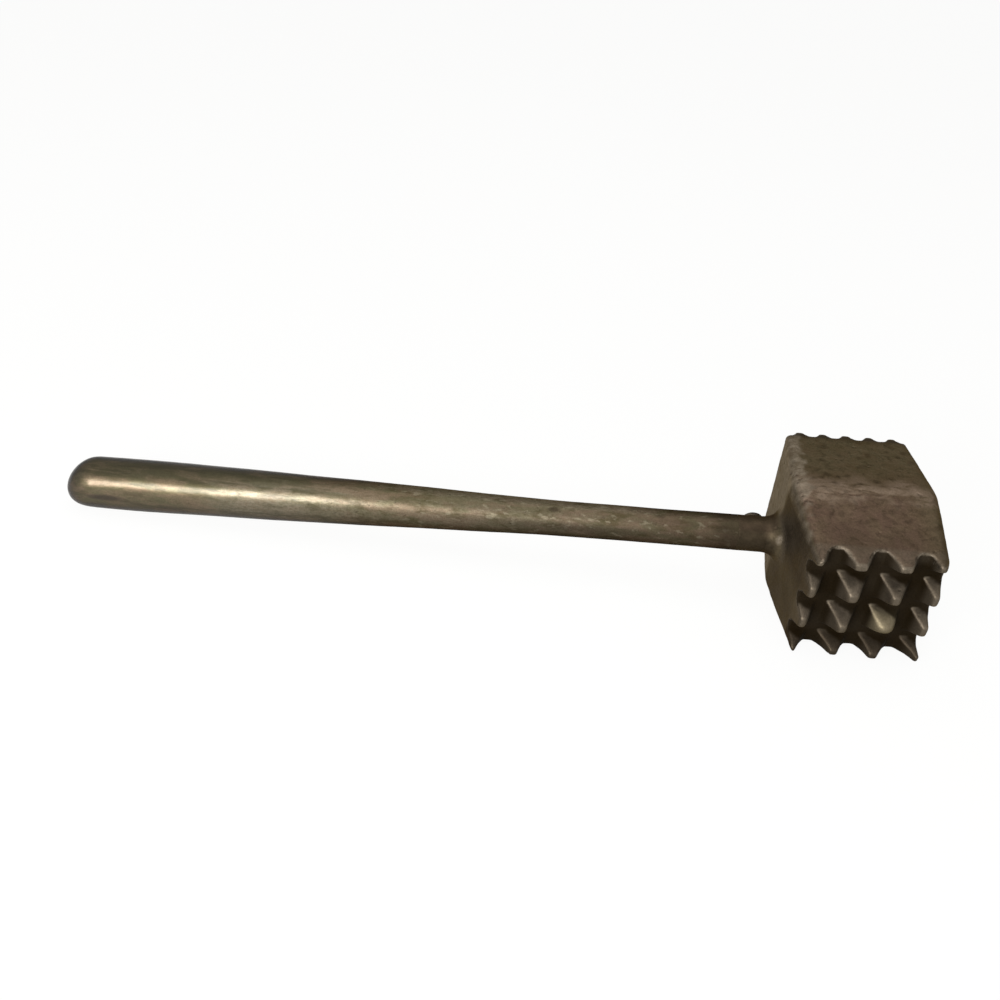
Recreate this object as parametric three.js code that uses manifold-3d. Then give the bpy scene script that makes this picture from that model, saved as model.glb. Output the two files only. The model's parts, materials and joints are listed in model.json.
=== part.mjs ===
// Two-faced meat tenderizer: a cast aluminium head pinned to a turned aluminium handle.
//
// Millimetres. The tool is drawn with the centre of its head at the origin: the handle runs toward -X,
// the coarse face looks toward -Y, the fine face toward +Y, and the mould parted on the plane y = 0.
// The last step lays the finished tool down on its side on the plane z = 0.

import * as THREE from 'three';
import { mergeVertices } from 'three/addons/utils/BufferGeometryUtils.js';
import Module from 'manifold-3d';

const wasm = await Module();
wasm.setup();

// Head block: widest at the parting plane, drawn in toward both working faces.
const BELLY_WIDTH = 54;
const COARSE_FACE_WIDTH = 45.8;
const FINE_FACE_WIDTH = 47.2;
const COARSE_REACH = 40.2;
const FINE_REACH = 36.9;
const BELLY_CORNER = 4.4;
const COARSE_CORNER = 2.6;
const FINE_CORNER = 1.6;
const PARTING_SOFTNESS = 1.2;

// Coarse face: grooves cut both ways leave blunt pyramids, half pyramids along the sides. The outer ones
// stop a little short of the inner ones.
const COARSE_GROOVES = 3;
const COARSE_PITCH = 15.1;
const COARSE_DEPTH = 8.3;
const COARSE_FLOOR = 3.8;
const COARSE_TIP = 3.4;
const COARSE_BORDER_SETBACK = 1.3;
const COARSE_TIP_ROUND = 1.5;
const COARSE_FLOOR_ROUND = 1.2;

// Fine face: low ribs across the handle's direction.
const FINE_RIBS = 5;
const FINE_PITCH = 9;
const FINE_HEIGHT = 2.6;
const FINE_CREST = 2.4;
const FINE_FLOOR = 3;
const FINE_CREST_ROUND = 1.3;
const FINE_FLOOR_ROUND = 1;
const FACE_EDGE_ROUND = 1.4;

// Neck: a round socket on the head, flush with the shank, with a fillet at the block.
const NECK_LENGTH = 16.2;
const NECK_FILLET = 5.5;
const NECK_ROOT_DEPTH = 6;
const SHANK_RADIUS = 6.95;

// Handle: domed grip end, tapering grip, slim shank. Stations are measured from the head's centre.
const HANDLE_REACH = 306.2;
const DOME_LENGTH = 11.2;
const GRIP_RADIUS = 10.2;
const GRIP_FULL_STATION = 260;
const GRIP_WAIST_STATION = 180;
const GRIP_WAIST_RADIUS = 8.62;
const SHANK_STATION = 114;

// Spigot of the handle in the blind bore of the head.
const SPIGOT_RADIUS = 4.8;
const SPIGOT_LENGTH = 31;
const SPIGOT_CHAMFER = 1;
const DRILL_POINT_ANGLE = 59;

// Pin through neck and spigot: a low button head on the fine side, filed flush on the coarse side.
const PIN_RADIUS = 2.2;
const PIN_FROM_HEAD = 9;
const PIN_HEAD_RADIUS = 4.5;
const PIN_HEAD_RIM = 0.65;
const PIN_HEAD_CROWN = 0.7;

// Clearance between pieces that touch on the real tool.
const FIT_GAP = 0.3;

// Smoothness of the round shapes.
const ROUND_SEGMENTS = 48;
const PIN_SEGMENTS = 24;
const CORNER_SEGMENTS = 6;
const TOOTH_CURVE_SEGMENTS = 4;
const FILLET_SEGMENTS = 6;
const GRIP_SEGMENTS = 26;
const DOME_SEGMENTS = 9;

// Places that follow from the sizes above.
const headFaceX = -BELLY_WIDTH / 2;
const neckEndX = headFaceX - NECK_LENGTH;
const shoulderX = neckEndX - FIT_GAP;
const spigotEndX = shoulderX + SPIGOT_LENGTH;
const pinX = headFaceX - PIN_FROM_HEAD;
const fineFloorY = FINE_REACH - FINE_HEIGHT;

// Turns a closed geometry into a solid that can be joined and cut.
function solidOf(geometry) {
  const bare = geometry.clone();
  bare.deleteAttribute('normal');
  bare.deleteAttribute('uv');
  const merged = mergeVertices(bare, 1e-4);
  const index = Array.from(merged.index.array);
  const triangles = [];
  for (let i = 0; i < index.length; i += 3) {
    const [a, b, c] = index.slice(i, i + 3);
    if (a !== b && b !== c && c !== a) triangles.push(a, b, c);
  }
  return new wasm.Manifold(new wasm.Mesh({
    numProp: 3,
    vertProperties: new Float32Array(merged.attributes.position.array),
    triVerts: new Uint32Array(triangles),
  }));
}

// Turns a finished solid back into a geometry with flat facets.
function geometryOf(solid) {
  const mesh = solid.getMesh();
  const geometry = new THREE.BufferGeometry();
  geometry.setAttribute('position', new THREE.BufferAttribute(mesh.vertProperties, 3));
  geometry.setIndex(new THREE.BufferAttribute(mesh.triVerts, 1));
  geometry.computeVertexNormals();
  return geometry;
}

// Revolves a profile of [along, radius] points about the X axis.
function turnedAboutX(profile, segments) {
  const points = profile.map(([along, radius]) => new THREE.Vector2(radius, along));
  return new THREE.LatheGeometry(points, segments).rotateZ(-Math.PI / 2);
}

// Revolves a profile of [radius, along] points about the line through x that runs along Y.
function turnedAboutY(profile, x, segments) {
  const points = profile.map(([radius, along]) => new THREE.Vector2(radius, along));
  return new THREE.LatheGeometry(points, segments).translate(x, 0, 0);
}

// Points of a quarter or part arc in [along, radius] terms, from one angle to another.
function arcPoints(centreAlong, centreRadius, halfAlong, halfRadius, from, to, segments) {
  const points = [];
  for (let i = 0; i <= segments; i += 1) {
    const angle = from + ((to - from) * i) / segments;
    points.push([
      centreAlong + halfAlong * Math.cos(angle),
      centreRadius + halfRadius * Math.sin(angle),
    ]);
  }
  return points;
}

// Draws a closed outline through corners of { x, y, round }, rounding each corner by its own radius.
function roundedOutline(corners) {
  const shape = new THREE.Shape();
  corners.forEach((corner, i) => {
    const here = new THREE.Vector2(corner.x, corner.y);
    const before = corners[(i + corners.length - 1) % corners.length];
    const after = corners[(i + 1) % corners.length];
    const toBefore = new THREE.Vector2(before.x, before.y).sub(here);
    const toAfter = new THREE.Vector2(after.x, after.y).sub(here);
    const turn = Math.PI - toBefore.angleTo(toAfter);
    const reach = corner.round * Math.tan(turn / 2);
    const start = here.clone().add(toBefore.setLength(reach));
    const end = here.clone().add(toAfter.setLength(reach));
    if (i === 0) shape.moveTo(start.x, start.y);
    else shape.lineTo(start.x, start.y);
    if (reach > 0) shape.quadraticCurveTo(here.x, here.y, end.x, end.y);
  });
  shape.closePath();
  return shape;
}

// Half width of the head block at a distance from the parting plane, with a softened belly line.
function halfWidthAt(y) {
  const coarseSlope = coarseDraft();
  const fineSlope = (BELLY_WIDTH - FINE_FACE_WIDTH) / 2 / (fineFloorY - PARTING_SOFTNESS / 2);
  const slope = y < 0 ? coarseSlope : fineSlope;
  const away = Math.abs(y);
  const drop = away < PARTING_SOFTNESS ? away * away / (2 * PARTING_SOFTNESS) : away - PARTING_SOFTNESS / 2;
  return BELLY_WIDTH / 2 - slope * drop;
}

// Slope of the head's sides on the coarse half.
function coarseDraft() {
  return (BELLY_WIDTH - COARSE_FACE_WIDTH) / 2 / (COARSE_REACH - PARTING_SOFTNESS / 2);
}

// Radius of the block's four long edges at a distance from the parting plane.
function cornerRadiusAt(y) {
  if (y < 0) return THREE.MathUtils.lerp(BELLY_CORNER, COARSE_CORNER, -y / COARSE_REACH);
  return THREE.MathUtils.lerp(BELLY_CORNER, FINE_CORNER, y / FINE_REACH);
}

// One ring of the head block: a square with round corners, in the plane at y.
function blockRing(y) {
  const radius = cornerRadiusAt(y);
  const centre = halfWidthAt(y) - radius;
  const ring = [];
  for (let corner = 0; corner < 4; corner += 1) {
    const middle = Math.PI / 4 + (corner * Math.PI) / 2;
    const cx = Math.sign(Math.cos(middle)) * centre;
    const cz = Math.sign(Math.sin(middle)) * centre;
    for (let i = 0; i <= CORNER_SEGMENTS; i += 1) {
      const angle = middle - Math.PI / 4 + (i / CORNER_SEGMENTS) * (Math.PI / 2);
      ring.push(new THREE.Vector3(cx + radius * Math.cos(angle), y, cz + radius * Math.sin(angle)));
    }
  }
  return ring;
}

// Skins a row of rings of equal length and closes both ends.
function loft(rings) {
  const count = rings[0].length;
  const positions = rings.flat().flatMap((point) => [point.x, point.y, point.z]);
  const index = [];
  for (let row = 0; row < rings.length - 1; row += 1) {
    for (let i = 0; i < count; i += 1) {
      const a = row * count + i;
      const b = row * count + ((i + 1) % count);
      index.push(a, a + count, b, b, a + count, b + count);
    }
  }
  const last = (rings.length - 1) * count;
  for (let i = 1; i < count - 1; i += 1) {
    index.push(0, i, i + 1);
    index.push(last, last + i + 1, last + i);
  }
  const geometry = new THREE.BufferGeometry();
  geometry.setAttribute('position', new THREE.Float32BufferAttribute(positions, 3));
  geometry.setIndex(index);
  return geometry;
}

// The head block before its faces are cut, a little longer than the finished head.
function headBlock() {
  const spare = 1;
  const levels = [-COARSE_REACH - spare];
  for (let i = -2; i <= 2; i += 1) levels.push((i / 2) * PARTING_SOFTNESS);
  levels.push(FINE_REACH + spare);
  return solidOf(loft(levels.map(blockRing)));
}

// Corners of the coarse side of a face outline, from low to high across the head.
function coarseCorners() {
  const floorY = COARSE_DEPTH - COARSE_REACH;
  const halfGap = (COARSE_PITCH - COARSE_TIP) / 2;
  const flankSlope = (halfGap - COARSE_FLOOR / 2) / COARSE_DEPTH;
  const tip = (x, side, setback) => ({
    x: x - side * setback * flankSlope,
    y: setback - COARSE_REACH,
    round: COARSE_TIP_ROUND,
  });
  const edge = (x) => ({ x, y: COARSE_BORDER_SETBACK - COARSE_REACH, round: COARSE_TIP_ROUND });
  const corners = [edge(-COARSE_FACE_WIDTH / 2)];
  for (let groove = 0; groove < COARSE_GROOVES; groove += 1) {
    const centre = (groove - (COARSE_GROOVES - 1) / 2) * COARSE_PITCH;
    const setbackBefore = groove === 0 ? COARSE_BORDER_SETBACK : 0;
    const setbackAfter = groove === COARSE_GROOVES - 1 ? COARSE_BORDER_SETBACK : 0;
    corners.push(tip(centre - halfGap, -1, setbackBefore));
    corners.push({ x: centre - COARSE_FLOOR / 2, y: floorY, round: COARSE_FLOOR_ROUND });
    corners.push({ x: centre + COARSE_FLOOR / 2, y: floorY, round: COARSE_FLOOR_ROUND });
    corners.push(tip(centre + halfGap, 1, setbackAfter));
  }
  corners.push(edge(COARSE_FACE_WIDTH / 2));
  return corners;
}

// Corners of the fine side, from high to low across the head: ribs, or plain where they run along.
function fineCorners(ribbed) {
  const edgeY = ribbed ? fineFloorY : FINE_REACH;
  const halfFoot = (FINE_PITCH - FINE_FLOOR) / 2;
  const corners = [{ x: FINE_FACE_WIDTH / 2, y: edgeY, round: FACE_EDGE_ROUND }];
  for (let rib = FINE_RIBS - 1; ribbed && rib >= 0; rib -= 1) {
    const centre = (rib - (FINE_RIBS - 1) / 2) * FINE_PITCH;
    corners.push({ x: centre + halfFoot, y: fineFloorY, round: FINE_FLOOR_ROUND });
    corners.push({ x: centre + FINE_CREST / 2, y: FINE_REACH, round: FINE_CREST_ROUND });
    corners.push({ x: centre - FINE_CREST / 2, y: FINE_REACH, round: FINE_CREST_ROUND });
    corners.push({ x: centre - halfFoot, y: fineFloorY, round: FINE_FLOOR_ROUND });
  }
  corners.push({ x: -FINE_FACE_WIDTH / 2, y: edgeY, round: FACE_EDGE_ROUND });
  return corners;
}

// A prism with both face outlines, extruded right across the head. What lies outside it is cut away.
function facePrism(ribbed) {
  const side = BELLY_WIDTH;
  const outline = roundedOutline([
    ...coarseCorners(),
    { x: side, y: 0, round: 0 },
    ...fineCorners(ribbed),
    { x: -side, y: 0, round: 0 },
  ]);
  const options = { depth: 2 * side, bevelEnabled: false, curveSegments: TOOTH_CURVE_SEGMENTS };
  return new THREE.ExtrudeGeometry(outline, options).translate(0, 0, -side);
}

// Leans the flare of the neck back with the drafted face that it runs out on.
function leanWithFace(geometry) {
  const position = geometry.attributes.position;
  for (let i = 0; i < position.count; i += 1) {
    const y = position.getY(i);
    const radius = Math.hypot(y, position.getZ(i));
    const share = THREE.MathUtils.clamp((radius - SHANK_RADIUS) / NECK_FILLET, 0, 1);
    position.setX(i, position.getX(i) + share * (BELLY_WIDTH / 2 - halfWidthAt(y)));
  }
  return geometry;
}

// The neck and its fillet, running a little way into the block.
function neck() {
  const rootX = headFaceX + NECK_ROOT_DEPTH;
  const fillet = arcPoints(
    headFaceX - NECK_FILLET, SHANK_RADIUS + NECK_FILLET,
    NECK_FILLET, NECK_FILLET, -Math.PI / 2, 0, FILLET_SEGMENTS,
  );
  const profile = [
    [neckEndX, 0],
    [neckEndX, SHANK_RADIUS],
    ...fillet,
    [rootX, SHANK_RADIUS + NECK_FILLET],
    [rootX, 0],
  ];
  return solidOf(leanWithFace(turnedAboutX(profile, ROUND_SEGMENTS)));
}

// The blind bore for the spigot, drilled from the neck's end, with the drill's cone at its floor.
function spigotBore() {
  const radius = SPIGOT_RADIUS + FIT_GAP;
  const floorX = spigotEndX + FIT_GAP;
  const cone = radius / Math.tan(THREE.MathUtils.degToRad(DRILL_POINT_ANGLE));
  const profile = [
    [neckEndX - 1, 0],
    [neckEndX - 1, radius],
    [floorX, radius],
    [floorX + cone, 0],
  ];
  return solidOf(turnedAboutX(profile, ROUND_SEGMENTS));
}

// A straight hole for the pin, through everything on its axis.
function pinHole() {
  const reach = SHANK_RADIUS + NECK_FILLET;
  const radius = PIN_RADIUS + FIT_GAP;
  const profile = [[0, -reach], [radius, -reach], [radius, reach], [0, reach]];
  return solidOf(turnedAboutY(profile, pinX, PIN_SEGMENTS));
}

// The cast head: block, toothed faces, neck, bore and pin hole in one solid.
function headCasting() {
  const acrossHandle = solidOf(facePrism(true));
  const alongHandle = solidOf(facePrism(false).rotateY(Math.PI / 2));
  const head = headBlock().intersect(acrossHandle).intersect(alongHandle);
  return geometryOf(head.add(neck()).subtract(spigotBore()).subtract(pinHole()));
}

// The turned handle: dome, grip, shank, shoulder and spigot, with the pin's cross hole.
function handleBar() {
  const domeX = -HANDLE_REACH + DOME_LENGTH;
  const dome = arcPoints(domeX, 0, DOME_LENGTH, GRIP_RADIUS, Math.PI, Math.PI / 2, DOME_SEGMENTS);
  dome[0][1] = 0;
  const taper = new THREE.SplineCurve([
    new THREE.Vector2(domeX, GRIP_RADIUS),
    new THREE.Vector2(-GRIP_FULL_STATION, GRIP_RADIUS),
    new THREE.Vector2(-GRIP_WAIST_STATION, GRIP_WAIST_RADIUS),
    new THREE.Vector2(-SHANK_STATION, SHANK_RADIUS),
    new THREE.Vector2(shoulderX, SHANK_RADIUS),
  ]);
  const profile = [
    ...dome,
    ...taper.getPoints(GRIP_SEGMENTS).slice(1).map((point) => [point.x, point.y]),
    [shoulderX, SPIGOT_RADIUS],
    [spigotEndX - SPIGOT_CHAMFER, SPIGOT_RADIUS],
    [spigotEndX, SPIGOT_RADIUS - SPIGOT_CHAMFER],
    [spigotEndX, 0],
  ];
  const bar = solidOf(turnedAboutX(profile, ROUND_SEGMENTS));
  return geometryOf(bar.subtract(pinHole()));
}

// A plain round bar on the line of the neck, as long as the neck.
function neckRound(radius) {
  const profile = [[neckEndX, 0], [neckEndX, radius], [headFaceX, radius], [headFaceX, 0]];
  return solidOf(turnedAboutX(profile, ROUND_SEGMENTS));
}

// A length of the pin's shaft, between two distances from the middle of the neck.
function pinShaft(fromY, toY) {
  const profile = [[0, fromY], [PIN_RADIUS, fromY], [PIN_RADIUS, toY], [0, toY]];
  return solidOf(turnedAboutY(profile, pinX, PIN_SEGMENTS));
}

// The cross pin: its head is seated on the round of the neck, its other end is filed to that round.
function crossPin() {
  const rimY = SHANK_RADIUS + PIN_HEAD_RIM;
  const crown = arcPoints(rimY, 0, PIN_HEAD_CROWN, PIN_HEAD_RADIUS, Math.PI / 2, 0, FILLET_SEGMENTS);
  const button = [
    [0, 0],
    [PIN_HEAD_RADIUS, 0],
    ...crown.map(([along, radius]) => [radius, along]),
  ];
  button[button.length - 1][0] = 0;
  const seat = neckRound(SHANK_RADIUS + FIT_GAP);
  const head = solidOf(turnedAboutY(button, pinX, PIN_SEGMENTS)).subtract(seat);
  const filedEnd = pinShaft(-SHANK_RADIUS, 0).intersect(neckRound(SHANK_RADIUS));
  return geometryOf(head.add(pinShaft(0, rimY)).add(filedEnd));
}

// Makes a named piece with its own finish.
function piece(name, geometry, color, roughness) {
  const material = new THREE.MeshStandardMaterial({ color, roughness, metalness: 1, flatShading: true });
  const mesh = new THREE.Mesh(geometry, material);
  mesh.name = name;
  return mesh;
}

// Roll that brings the lower side of the coarse half level.
function restingRoll() {
  return Math.atan(coarseDraft());
}

// Slope of the line that touches the underside of the grip and of the block's edge nearest to it.
function restingPitch() {
  const edge = new THREE.Vector2(
    headFaceX + BELLY_CORNER,
    -(BELLY_WIDTH / 2) * Math.cos(restingRoll()) + BELLY_CORNER,
  );
  const grip = new THREE.Vector2(-HANDLE_REACH + DOME_LENGTH, 0);
  const between = edge.clone().sub(grip);
  return Math.atan2(between.y, between.x) + Math.asin((GRIP_RADIUS - BELLY_CORNER) / between.length());
}

// Lays the tool on its side on the plane z = 0, with the middle of its box over the origin.
function laidDown(tool) {
  const pitched = new THREE.Group();
  const rolled = new THREE.Group();
  rolled.rotation.x = restingRoll();
  rolled.add(tool);
  pitched.rotation.y = restingPitch();
  pitched.add(rolled);
  pitched.updateMatrixWorld(true);
  const box = new THREE.Box3().setFromObject(pitched, true);
  pitched.position.set(
    -(box.min.x + box.max.x) / 2,
    -(box.min.y + box.max.y) / 2,
    -box.min.z,
  );
  return pitched;
}

const tool = new THREE.Group();
tool.add(piece('head_casting', headCasting(), '#7d6b58', 0.5));
tool.add(piece('handle_bar', handleBar(), '#8a7866', 0.32));
tool.add(piece('cross_pin', crossPin(), '#77705c', 0.45));

const tenderizer = new THREE.Group();
tenderizer.add(laidDown(tool));
tenderizer.updateMatrixWorld(true);

export default tenderizer;
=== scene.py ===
# Looks of the meat tenderizer: tarnished cast head, hand-polished handle and its pin, on a pale floor.
import json
import math
import random
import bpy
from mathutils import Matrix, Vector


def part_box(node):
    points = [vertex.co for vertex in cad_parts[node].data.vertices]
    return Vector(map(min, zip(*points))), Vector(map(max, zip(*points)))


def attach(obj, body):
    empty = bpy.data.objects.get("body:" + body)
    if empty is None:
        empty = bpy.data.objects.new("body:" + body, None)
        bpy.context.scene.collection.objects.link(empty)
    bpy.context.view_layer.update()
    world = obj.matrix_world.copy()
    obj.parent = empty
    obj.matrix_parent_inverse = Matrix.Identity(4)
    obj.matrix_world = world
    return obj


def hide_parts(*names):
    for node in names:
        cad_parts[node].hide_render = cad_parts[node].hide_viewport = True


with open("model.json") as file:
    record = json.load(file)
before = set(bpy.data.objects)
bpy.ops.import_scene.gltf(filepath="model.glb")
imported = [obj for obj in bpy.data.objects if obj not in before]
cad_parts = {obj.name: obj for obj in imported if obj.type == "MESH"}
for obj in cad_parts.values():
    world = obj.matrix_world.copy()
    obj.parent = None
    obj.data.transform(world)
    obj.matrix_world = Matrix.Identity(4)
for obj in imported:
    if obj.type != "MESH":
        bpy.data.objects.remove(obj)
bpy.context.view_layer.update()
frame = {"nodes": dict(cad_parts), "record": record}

from types import SimpleNamespace

import bpy
import numpy as np
from mathutils import Matrix, Vector, noise

# All sizes are millimetres in the tool's drawing frame: the head's centre is the origin, the handle runs
# toward -X, the coarse face looks toward -Y and the fine face toward +Y. MM turns them into metres.
MM = 0.001

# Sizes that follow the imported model.
SIDE_MOUNT_Y = -18
BELLY_HALF = 27
COARSE_HALF = 22.9
FINE_HALF = 23.6
COARSE_REACH = 40.2
COARSE_DEPTH = 8.3
COARSE_FLOOR = COARSE_REACH - COARSE_DEPTH
COARSE_PITCH = 15.1
TEETH = 4
MIDDLE_TOOTH = (TEETH - 1) / 2
FINE_REACH = 36.9
FINE_FLOOR = 34.3
NECK_END = -43.2
SHANK_RADIUS = 6.95
PIN_STATION = -36
PIN_RADIUS = 2.2
GRIP_END = -306.2
DOME_START = -295
CAD_GAP = 0.3
SHOULDER = NECK_END - CAD_GAP

# Fineness of the sculpted skins, and the angle in degrees from which their edges stay crisp.
HEAD_VOXEL = 0.42
HANDLE_VOXEL = 0.55
PIN_VOXEL = 0.2
CRISP_ANGLE = 55

# Camera: the photo's viewpoint, a 53 degree lens.
CAMERA_AT = (-118.9, -297.7, 253.2)
CAMERA_AIM = (-135.25, 8.28, 0)
CAMERA_RIGHT = (0.99611, 0.08132, 0.0339)
CAMERA_LENS = 36
CAMERA_SENSOR = 36
CAMERA_NEAR = 10


def tool_frame(record):
    """Matrix from the drawing frame to the row frame, in metres, read off the head's two side mounts."""
    faces = {mount["name"]: mount for mount in record["mounts"]}
    lower = faces["lower_side"]
    upper = faces["upper_side"]
    up = (Vector(upper["axis"]) - Vector(lower["axis"])).normalized()
    back = -(Vector(upper["axis"]) + Vector(lower["axis"])).normalized()
    along = back.cross(up)
    middle = (Vector(upper["pos_m"]) + Vector(lower["pos_m"])) / 2
    matrix = Matrix((along, back, up)).transposed().to_4x4()
    matrix.translation = middle - back * SIDE_MOUNT_Y * MM
    return matrix


TOOL = tool_frame(frame["record"])


def in_row_frame(point):
    """A point of the drawing frame, in millimetres, as a point of the row frame in metres."""
    return TOOL @ (Vector(point) * MM)


# Mesh tools

def points_of(mesh):
    """A mesh's points as an array."""
    flat = np.empty(len(mesh.vertices) * 3)
    mesh.vertices.foreach_get("co", flat)
    return flat.reshape(-1, 3)


def normals_of(mesh):
    """A mesh's point normals as an array."""
    flat = np.empty(len(mesh.vertices) * 3)
    mesh.vertices.foreach_get("normal", flat)
    return flat.reshape(-1, 3)


def edges_of(mesh):
    """A mesh's edges as an array of point pairs."""
    flat = np.empty(len(mesh.edges) * 2, dtype=np.int32)
    mesh.edges.foreach_get("vertices", flat)
    return flat.reshape(-1, 2)


def set_points(mesh, points):
    """Moves a mesh's points."""
    mesh.vertices.foreach_set("co", points.ravel())
    mesh.update()


def relaxed(points, edges, rounds):
    """The points after some rounds of moving each one halfway toward the mean of its neighbours."""
    count = len(points)
    ends = np.concatenate([edges[:, 0], edges[:, 1]])
    others = np.concatenate([edges[:, 1], edges[:, 0]])
    degree = np.maximum(np.bincount(ends, minlength=count), 1)[:, None]
    for _ in range(rounds):
        sums = np.stack([np.bincount(ends, points[others, k], count) for k in range(3)], axis=1)
        points = points + 0.5 * (sums / degree - points)
    return points


def ramp(values, low, high):
    """Values eased from 0 at low to 1 at high."""
    t = np.clip((values - low) / (high - low), 0, 1)
    return t * t * (3 - 2 * t)


def grain(points, size, seed, stretch=(1, 1, 1)):
    """Smooth noise of about -1 to 1 at each point, with lumps of the given size."""
    scaled = points / (size * np.array(stretch)) + seed
    return np.array([noise.noise(Vector(p)) for p in scaled])


def bumpiness(points, normals, edges, rounds):
    """How far each point stands proud of the relaxed surface: above 0 on edges, below 0 in corners."""
    return ((points - relaxed(points, edges, rounds)) * normals).sum(axis=1)


def chosen(points, where, count, chance):
    """Points drawn by chance from those where a condition holds. They follow the array's own points."""
    pool = np.where(where)[0]
    return [points[pool[chance.randrange(len(pool))]] for _ in range(count)]


def pitted(points, normals, centres, chance, radii, depths):
    """Presses pits of drawn sizes into a surface; also gives how deep in a pit each point lies, 0 to 1."""
    drawn_radii = [chance.uniform(*radii) for _ in centres]
    drawn_depths = [chance.uniform(*depths) for _ in centres]
    hollow = np.zeros(len(points))
    for centre, radius, depth in zip(centres, drawn_radii, drawn_depths):
        away = np.linalg.norm(points - centre, axis=1)
        near = np.where(away < radius)[0]
        shape = (1 - (away[near] / radius) ** 2) ** 2
        points[near] -= normals[near] * (depth * shape)[:, None]
        hollow[near] = np.maximum(hollow[near], shape)
    return points, hollow


def cad_mesh(node):
    """A copy of a CAD node's mesh in the drawing frame, in millimetres."""
    mesh = frame["nodes"][node].data.copy()
    mesh.transform(Matrix.Scale(1 / MM, 4) @ TOOL.inverted())
    return mesh


def remeshed(name, node, voxel):
    """A CAD node rebuilt as an even mesh of small quads, in the drawing frame."""
    rough = bpy.data.objects.new(name + "_rough", cad_mesh(node))
    bpy.context.scene.collection.objects.link(rough)
    weld = rough.modifiers.new("weld", "WELD")
    weld.merge_threshold = 0.001
    remesh = rough.modifiers.new("remesh", "REMESH")
    remesh.mode = "VOXEL"
    remesh.voxel_size = voxel
    evaluated = rough.evaluated_get(bpy.context.evaluated_depsgraph_get())
    fine = bpy.data.meshes.new_from_object(evaluated)
    bpy.data.objects.remove(rough)
    fine.name = name
    fine.materials.clear()
    return fine


def squared_off(points, normals, where, end, facing, radius):
    """Brings the rounded rim of a turned end back to a crisp edge between its side and its end face."""
    out = np.hypot(points[:, 1], points[:, 2])
    outward = (normals[:, 1] * points[:, 1] + normals[:, 2] * points[:, 2]) / np.maximum(out, 0.1)
    side = where & (outward > 0.25)
    points[side, 1:] *= (radius / out[side])[:, None]
    points[where & (normals[:, 0] * facing > 0.25), 0] = end
    return points


def put_mask(mesh, name, values):
    """Stores a value from 0 to 1 at each point, for the materials to read."""
    layer = mesh.attributes.new(name, "FLOAT", "POINT")
    layer.data.foreach_set("value", np.clip(values, 0, 1).astype(np.float32))


def finished_piece(name, mesh, node, material):
    """Puts a sculpted mesh in the row frame, inside the CAD node's box, in place of that node."""
    mesh.transform(TOOL @ Matrix.Scale(MM, 4))
    low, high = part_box(node)
    set_points(mesh, np.clip(points_of(mesh), np.array(low), np.array(high)))
    mesh.materials.append(material)
    mesh.shade_smooth()
    mesh.set_sharp_from_angle(angle=math.radians(CRISP_ANGLE))
    piece = bpy.data.objects.new(name, mesh)
    bpy.context.scene.collection.objects.link(piece)
    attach(piece, "root")
    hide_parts(node)
    return piece


# Material tools

def new_material(name):
    """A new material with its node tree and its Principled shader."""
    material = bpy.data.materials.new(name)
    material.use_nodes = True
    tree = material.node_tree
    return material, tree, tree.nodes["Principled BSDF"]


def object_place(tree, stretch=1):
    """The point on the object, in millimetres. Patterns made from it are longer along X by the stretch."""
    place = tree.nodes.new("ShaderNodeTexCoord")
    mapping = tree.nodes.new("ShaderNodeMapping")
    mapping.inputs["Scale"].default_value = (1 / MM / stretch, 1 / MM, 1 / MM)
    tree.links.new(place.outputs["Object"], mapping.inputs["Vector"])
    return mapping.outputs["Vector"]


def noise_value(tree, vector, size, detail=3, roughness=0.55, distortion=0):
    """A noise value with lumps of a size in millimetres."""
    node = tree.nodes.new("ShaderNodeTexNoise")
    node.inputs["Scale"].default_value = 1 / size
    node.inputs["Detail"].default_value = detail
    node.inputs["Roughness"].default_value = roughness
    node.inputs["Distortion"].default_value = distortion
    tree.links.new(vector, node.inputs["Vector"])
    return node.outputs["Fac"]


def mask_value(tree, name):
    """A mask that the mesh carries."""
    node = tree.nodes.new("ShaderNodeAttribute")
    node.attribute_name = name
    return node.outputs["Fac"]


def eased(tree, value, low, high, out_low=0, out_high=1):
    """A value mapped smoothly from one range to another."""
    node = tree.nodes.new("ShaderNodeMapRange")
    node.interpolation_type = "SMOOTHSTEP"
    node.inputs["From Min"].default_value = low
    node.inputs["From Max"].default_value = high
    node.inputs["To Min"].default_value = out_low
    node.inputs["To Max"].default_value = out_high
    tree.links.new(value, node.inputs["Value"])
    return node.outputs["Result"]


def arithmetic(tree, operation, a, b):
    """Two values, or a value and a number, put together."""
    node = tree.nodes.new("ShaderNodeMath")
    node.operation = operation
    for socket, value in zip(node.inputs, (a, b)):
        if isinstance(value, (int, float)):
            socket.default_value = value
        else:
            tree.links.new(value, socket)
    return node.outputs["Value"]


def mask_times(tree, name, value):
    """A mask that the mesh carries, times a value or a number."""
    return arithmetic(tree, "MULTIPLY", mask_value(tree, name), value)


def mixed(tree, share, first, second, blend="MIX"):
    """Two colours mixed by a share; a colour is a socket or three numbers."""
    node = tree.nodes.new("ShaderNodeMix")
    node.data_type = "RGBA"
    node.blend_type = blend
    inputs = [s for s in node.inputs if s.type == "RGBA"]
    factor = next(s for s in node.inputs if s.name == "Factor" and s.type == "VALUE")
    if isinstance(share, (int, float)):
        factor.default_value = share
    else:
        tree.links.new(share, factor)
    for socket, colour in zip(inputs, (first, second)):
        if isinstance(colour, tuple):
            socket.default_value = (*colour, 1)
        else:
            tree.links.new(colour, socket)
    return next(s for s in node.outputs if s.type == "RGBA")


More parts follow.
